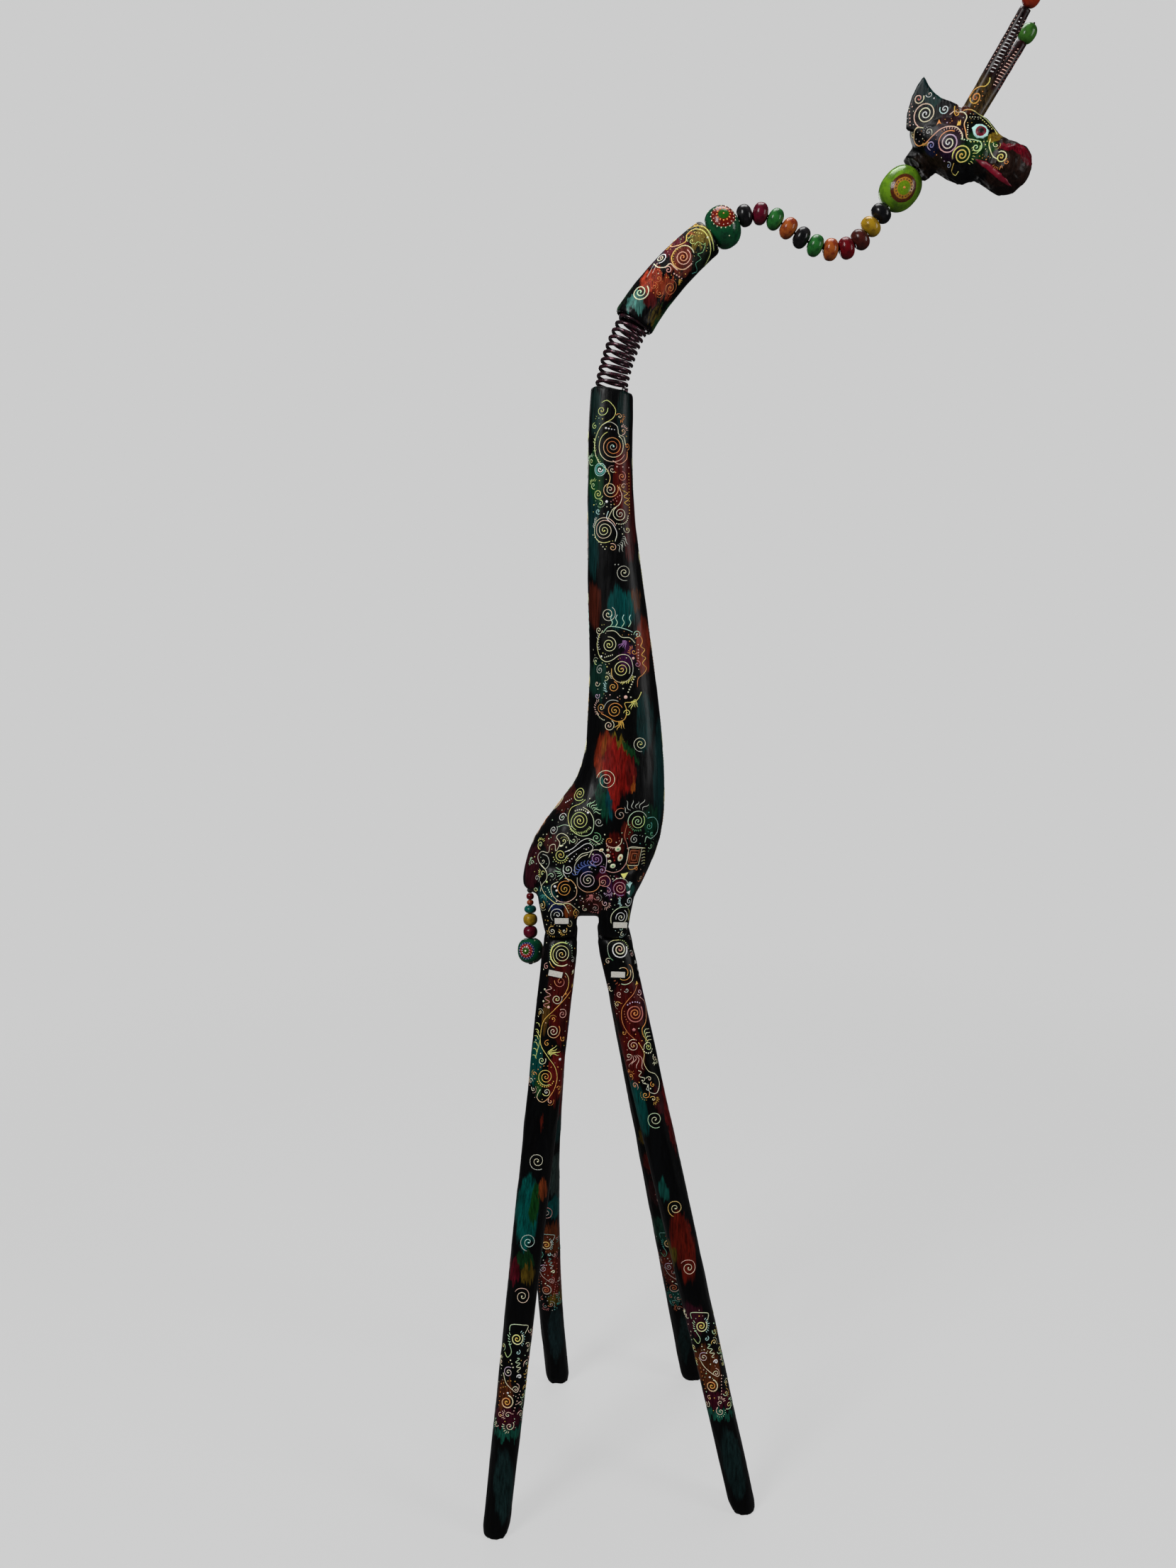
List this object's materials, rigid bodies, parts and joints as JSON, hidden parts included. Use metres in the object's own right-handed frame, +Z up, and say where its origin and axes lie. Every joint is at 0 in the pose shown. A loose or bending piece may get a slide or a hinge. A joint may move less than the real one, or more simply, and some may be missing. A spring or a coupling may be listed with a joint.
{
  "type": "carved giraffe statue",
  "caption": "Tall painted wooden giraffe statue with plug-in splayed legs, a spring in its neck, a beaded wire upper neck, a horned head and a beaded tail.",
  "frame": {"origin": "middle of the floor area that the statue's box covers, on the floor", "axes": "+X the way the giraffe faces, +Y its left side, +Z up"},
  "size_m": [0.6304, 0.3301, 1.7756],
  "materials": {
    "carved_body": "gloss varnish over dark streaked paint",
    "carved_leg": "gloss varnish over dark streaked paint",
    "carved_neck": "gloss varnish over red and green paint",
    "carved_head": "gloss varnish over painted swirls",
    "horn": "gloss varnish with painted rings",
    "bare_wood": "bare turned wood",
    "spring_steel": "gloss black over steel",
    "wire_steel": "plain drawn wire",
    "bead_black": "gloss lacquer",
    "bead_maroon": "gloss lacquer",
    "bead_green": "gloss lacquer",
    "bead_orange": "gloss lacquer",
    "bead_red": "gloss lacquer",
    "bead_brown": "gloss lacquer",
    "bead_yellow": "gloss lacquer",
    "bead_teal": "gloss lacquer",
    "bead_dotted_green": "gloss lacquer with painted dots",
    "bead_dotted_lime": "gloss lacquer with painted rings",
    "paper": "matt white paper"
  },
  "bodies": {
    "body": {"body": "carved_body", "spring_staple_lower": "wire_steel", "label_hind_stub": "paper", "label_front_stub": "paper"},
    "leg_hind_right": {"leg_hind_right": "carved_leg", "dowel_hind_right": "bare_wood", "label_hind_leg": "paper"},
    "leg_front_right": {"leg_front_right": "carved_leg", "dowel_front_right": "bare_wood", "label_front_leg": "paper"},
    "leg_hind_left": {"leg_hind_left": "carved_leg", "dowel_hind_left": "bare_wood"},
    "leg_front_left": {"leg_front_left": "carved_leg", "dowel_front_left": "bare_wood"},
    "neck_spring": {"neck_spring": "spring_steel"},
    "upper_neck": {"upper_neck": "carved_neck", "spring_staple_upper": "wire_steel"},
    "neck_wire": {"neck_wire": "wire_steel"},
    "bead_large_green": {"bead_large_green": "bead_dotted_green"},
    "bead_black_1": {"bead_black_1": "bead_black"},
    "bead_maroon": {"bead_maroon": "bead_maroon"},
    "bead_green_1": {"bead_green_1": "bead_green"},
    "bead_orange_1": {"bead_orange_1": "bead_orange"},
    "bead_black_2": {"bead_black_2": "bead_black"},
    "bead_green_2": {"bead_green_2": "bead_green"},
    "bead_orange_2": {"bead_orange_2": "bead_orange"},
    "bead_red": {"bead_red": "bead_red"},
    "bead_brown": {"bead_brown": "bead_brown"},
    "bead_yellow": {"bead_yellow": "bead_yellow"},
    "bead_black_3": {"bead_black_3": "bead_black"},
    "bead_large_lime": {"bead_large_lime": "bead_dotted_lime"},
    "head": {"head": "carved_head", "horn_right": "horn", "horn_left": "horn", "horn_bead_red": "bead_red", "horn_bead_green": "bead_green"},
    "tail_knob": {"tail_knob": "bead_black"},
    "tail_wire": {"tail_wire": "wire_steel"},
    "tail_bead_red_small": {"tail_bead_red_small": "bead_maroon"},
    "tail_bead_orange": {"tail_bead_orange": "bead_orange"},
    "tail_bead_teal": {"tail_bead_teal": "bead_teal"},
    "tail_bead_yellow": {"tail_bead_yellow": "bead_yellow"},
    "tail_bead_red": {"tail_bead_red": "bead_red"},
    "tail_bead_large_green": {"tail_bead_large_green": "bead_dotted_green"}
  },
  "joints": [
    {"name": "hind_right_leg_pull", "type": "slide", "parent": "body", "child": "leg_hind_right", "axis": [-0.1092, -0.1515, -0.9824], "range_m": [0, 0.045]},
    {"name": "front_right_leg_pull", "type": "slide", "parent": "body", "child": "leg_front_right", "axis": [0.2211, -0.0957, -0.9706], "range_m": [0, 0.045]},
    {"name": "hind_left_leg_pull", "type": "slide", "parent": "body", "child": "leg_hind_left", "axis": [-0.0151, 0.1631, -0.9865], "range_m": [0, 0.045]},
    {"name": "front_left_leg_pull", "type": "slide", "parent": "body", "child": "leg_front_left", "axis": [0.1659, 0.17, -0.9714], "range_m": [0, 0.045]},
    {"name": "spring_sway", "type": "hinge", "parent": "body", "child": "neck_spring", "pos_m": [-0.1586, 0, 1.4035], "axis": [1, 0, 0], "range_deg": [-18, 18], "stiffness_Nm_per_rad": 12, "deforming": ["neck_spring"]},
    {"name": "spring_nod", "type": "hinge", "parent": "neck_spring", "child": "upper_neck", "pos_m": [-0.1488, 0, 1.4297], "axis": [0, 1, 0], "range_deg": [-18, 18], "stiffness_Nm_per_rad": 12, "springref_deg": -6.88, "deforming": ["neck_spring"]},
    {"name": "wire_flex", "type": "hinge", "parent": "upper_neck", "child": "neck_wire", "pos_m": [-0.0562, 0, 1.5419], "axis": [0, 1, 0], "range_deg": [-6, 6], "stiffness_Nm_per_rad": 10, "springref_deg": -4.58},
    {"name": "bead_large_green_spin", "type": "hinge", "parent": "neck_wire", "child": "bead_large_green", "pos_m": [-0.03572, 0, 1.55632], "axis": [0.845, 0, 0.5348], "continuous": true},
    {"name": "bead_black_1_spin", "type": "hinge", "parent": "neck_wire", "child": "bead_black_1", "pos_m": [-0.01068, 0, 1.5691], "axis": [0.9546, 0, 0.2979], "continuous": true},
    {"name": "bead_maroon_spin", "type": "hinge", "parent": "neck_wire", "child": "bead_maroon", "pos_m": [0.00752, 0, 1.5713], "axis": [0.9907, 0, -0.1359], "continuous": true},
    {"name": "bead_green_1_spin", "type": "hinge", "parent": "neck_wire", "child": "bead_green_1", "pos_m": [0.02485, 0, 1.56511], "axis": [0.8896, 0, -0.4567], "continuous": true},
    {"name": "bead_orange_1_spin", "type": "hinge", "parent": "neck_wire", "child": "bead_orange_1", "pos_m": [0.04044, 0, 1.55519], "axis": [0.8151, 0, -0.5793], "continuous": true},
    {"name": "bead_black_2_spin", "type": "hinge", "parent": "neck_wire", "child": "bead_black_2", "pos_m": [0.05582, 0, 1.54492], "axis": [0.8591, 0, -0.5117], "continuous": true},
    {"name": "bead_green_2_spin", "type": "hinge", "parent": "neck_wire", "child": "bead_green_2", "pos_m": [0.07208, 0, 1.53612], "axis": [0.9201, 0, -0.3916], "continuous": true},
    {"name": "bead_orange_2_spin", "type": "hinge", "parent": "neck_wire", "child": "bead_orange_2", "pos_m": [0.08999, 0, 1.53178], "axis": [0.9957, 0, -0.0929], "continuous": true},
    {"name": "bead_red_spin", "type": "hinge", "parent": "neck_wire", "child": "bead_red", "pos_m": [0.10828, 0, 1.53333], "axis": [0.947, 0, 0.3213], "continuous": true},
    {"name": "bead_brown_spin", "type": "hinge", "parent": "neck_wire", "child": "bead_brown", "pos_m": [0.12408, 0, 1.54274], "axis": [0.7381, 0, 0.6747], "continuous": true},
    {"name": "bead_yellow_spin", "type": "hinge", "parent": "neck_wire", "child": "bead_yellow", "pos_m": [0.13583, 0, 1.55701], "axis": [0.632, 0, 0.775], "continuous": true},
    {"name": "bead_black_3_spin", "type": "hinge", "parent": "neck_wire", "child": "bead_black_3", "pos_m": [0.14738, 0, 1.57145], "axis": [0.6197, 0, 0.7849], "continuous": true},
    {"name": "bead_large_lime_spin", "type": "hinge", "parent": "neck_wire", "child": "bead_large_lime", "pos_m": [0.16862, 0, 1.59852], "axis": [0.6261, 0, 0.7797], "continuous": true},
    {"name": "head_tilt", "type": "hinge", "parent": "neck_wire", "child": "head", "pos_m": [0.186, 0, 1.6195], "axis": [0, 1, 0], "range_deg": [-12, 12]},
    {"name": "tail_sway", "type": "hinge", "parent": "body", "child": "tail_knob", "pos_m": [-0.2645, 0, 0.774], "axis": [1, 0, 0], "range_deg": [-15, 15]},
    {"name": "tail_swing", "type": "hinge", "parent": "tail_knob", "child": "tail_wire", "pos_m": [-0.2645, 0, 0.7701], "axis": [0, 1, 0], "range_deg": [0, 35]},
    {"name": "tail_bead_red_small_spin", "type": "hinge", "parent": "tail_wire", "child": "tail_bead_red_small", "pos_m": [-0.2645, 0, 0.762], "axis": [0, 0, 1], "continuous": true},
    {"name": "tail_bead_orange_spin", "type": "hinge", "parent": "tail_wire", "child": "tail_bead_orange", "pos_m": [-0.2645, 0, 0.7541], "axis": [0, 0, 1], "continuous": true},
    {"name": "tail_bead_teal_spin", "type": "hinge", "parent": "tail_wire", "child": "tail_bead_teal", "pos_m": [-0.2645, 0, 0.7455], "axis": [0, 0, 1], "continuous": true},
    {"name": "tail_bead_yellow_spin", "type": "hinge", "parent": "tail_wire", "child": "tail_bead_yellow", "pos_m": [-0.2645, 0, 0.7323], "axis": [0, 0, 1], "continuous": true},
    {"name": "tail_bead_red_spin", "type": "hinge", "parent": "tail_wire", "child": "tail_bead_red", "pos_m": [-0.2645, 0, 0.7163], "axis": [0, 0, 1], "continuous": true},
    {"name": "tail_bead_large_green_spin", "type": "hinge", "parent": "tail_wire", "child": "tail_bead_large_green", "pos_m": [-0.2645, 0, 0.6922], "axis": [0, 0, 1], "continuous": true}
  ]
}
